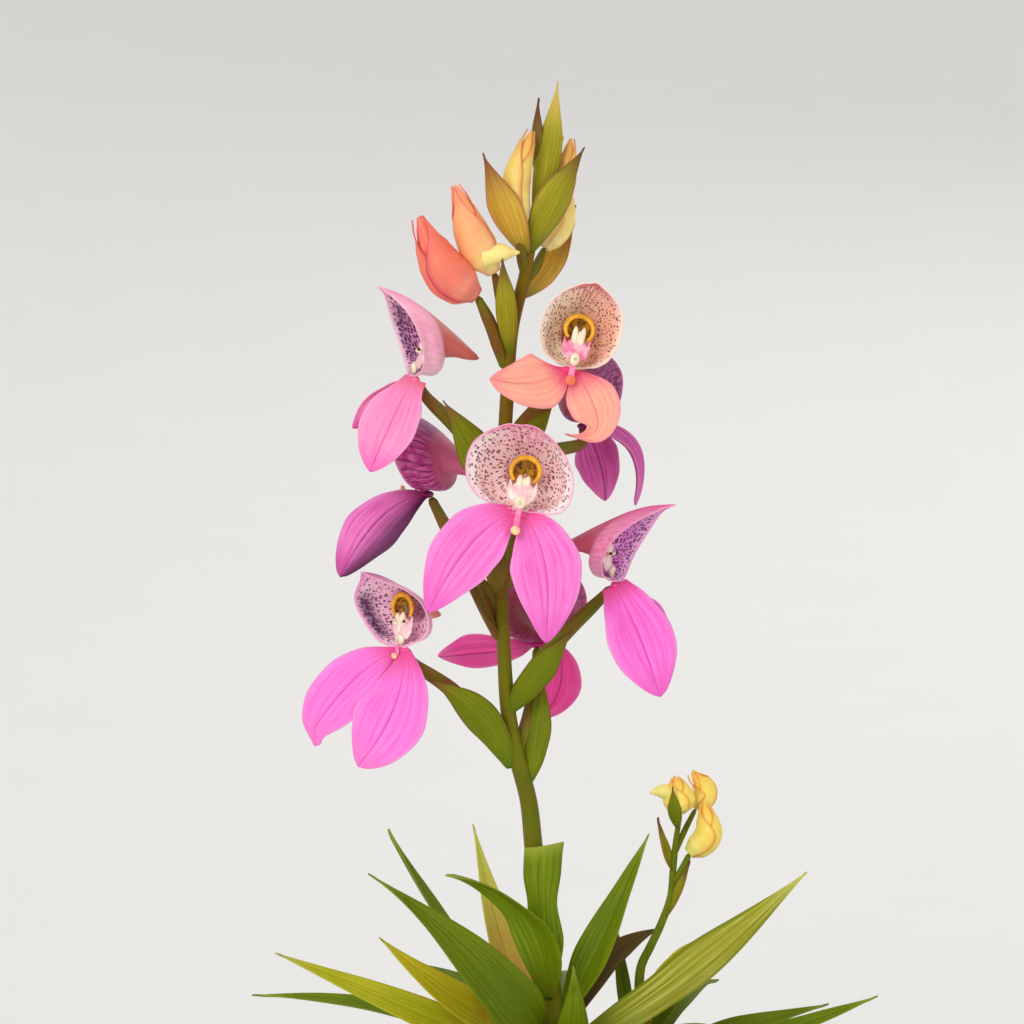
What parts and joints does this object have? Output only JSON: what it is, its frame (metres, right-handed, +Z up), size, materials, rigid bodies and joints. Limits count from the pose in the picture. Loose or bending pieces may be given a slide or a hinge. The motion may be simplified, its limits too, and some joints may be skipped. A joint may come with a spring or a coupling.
{
  "type": "potted disa orchid",
  "caption": "Flowering disa orchid in a round nursery pot, with a tall spike of hooded blooms and buds, a young side stem and a low rosette of lance-shaped leaves.",
  "frame": {"origin": "centre of the pot's underside", "axes": "+Z up along the stem, -Y towards the front, where the two largest open blooms face, +X to the right as seen from the front"},
  "size_m": [0.1601, 0.1001, 0.3371],
  "materials": {
    "pot_plastic": "matt moulded surface, slightly dusty",
    "growing_medium": "loose, coarse bark and peat with light grit",
    "stem_green": "satin, olive green, browner on the ovaries",
    "leaf_green": "satin, with paler lengthwise veins",
    "leaf_yellow": "satin, ageing to yellow and rust",
    "leaf_rust": "dull, withered",
    "sepal_pink": "soft satin with darker veins",
    "sepal_salmon": "soft satin with a deep pink base",
    "sepal_violet": "soft satin with darker veins",
    "hood_pink": "soft satin, speckled inside, veined outside",
    "hood_salmon": "soft satin, speckled inside",
    "hood_violet": "soft satin, veined outside",
    "column_cream": "waxy white body, golden yellow petals",
    "bud_coral": "satin",
    "bud_peach": "satin",
    "bud_yellow": "satin"
  },
  "bodies": {
    "root": {"bloom_1_hood": "hood_pink", "bloom_1_sepals": "sepal_pink", "bloom_1_column": "column_cream", "bloom_2_hood": "hood_salmon", "bloom_2_sepals": "sepal_salmon", "bloom_2_column": "column_cream", "bloom_3_hood": "hood_violet", "bloom_3_sepals": "sepal_violet", "bloom_3_column": "column_cream", "bloom_4_hood": "hood_pink", "bloom_4_sepals": "sepal_pink", "bloom_4_column": "column_cream", "bloom_5_hood": "hood_pink", "bloom_5_sepals": "sepal_pink", "bloom_5_column": "column_cream", "bloom_6_hood": "hood_violet", "bloom_6_sepals": "sepal_violet", "bloom_6_column": "column_cream", "bloom_7_hood": "hood_pink", "bloom_7_sepals": "sepal_pink", "bloom_7_column": "column_cream", "bloom_8_hood": "hood_pink", "bloom_8_sepals": "sepal_pink", "bloom_8_column": "column_cream", "bud_coral": "bud_coral", "bud_peach": "bud_peach", "bud_yellow_left": "bud_yellow", "bud_yellow_right": "bud_yellow", "bud_yellow_back": "bud_yellow", "side_bud_left": "bud_yellow", "side_bud_right": "bud_yellow", "side_bud_low": "bud_yellow", "main_stem": "stem_green", "side_stem": "stem_green", "leaf_left_long": "leaf_yellow", "leaf_left_low": "leaf_green", "leaf_left_gold": "leaf_yellow", "leaf_left_back": "leaf_green", "leaf_left_broad": "leaf_green", "leaf_upright_gold": "leaf_yellow", "leaf_stem_left": "leaf_green", "leaf_stem_sheath": "leaf_green", "leaf_right_up": "leaf_green", "leaf_right_big": "leaf_yellow", "leaf_rust": "leaf_rust", "leaf_front_up": "leaf_green", "leaf_back_left": "leaf_green", "leaf_back": "leaf_green", "leaf_front": "leaf_green", "side_leaf_thin": "leaf_green", "side_leaf_gold": "leaf_yellow", "side_leaf_short": "leaf_green", "side_leaf_curled": "leaf_green", "side_leaf_right": "leaf_green", "side_leaf_far": "leaf_green", "side_leaf_back": "leaf_green", "pot": "pot_plastic", "growing_medium": "growing_medium"}
  },
  "joints": []
}
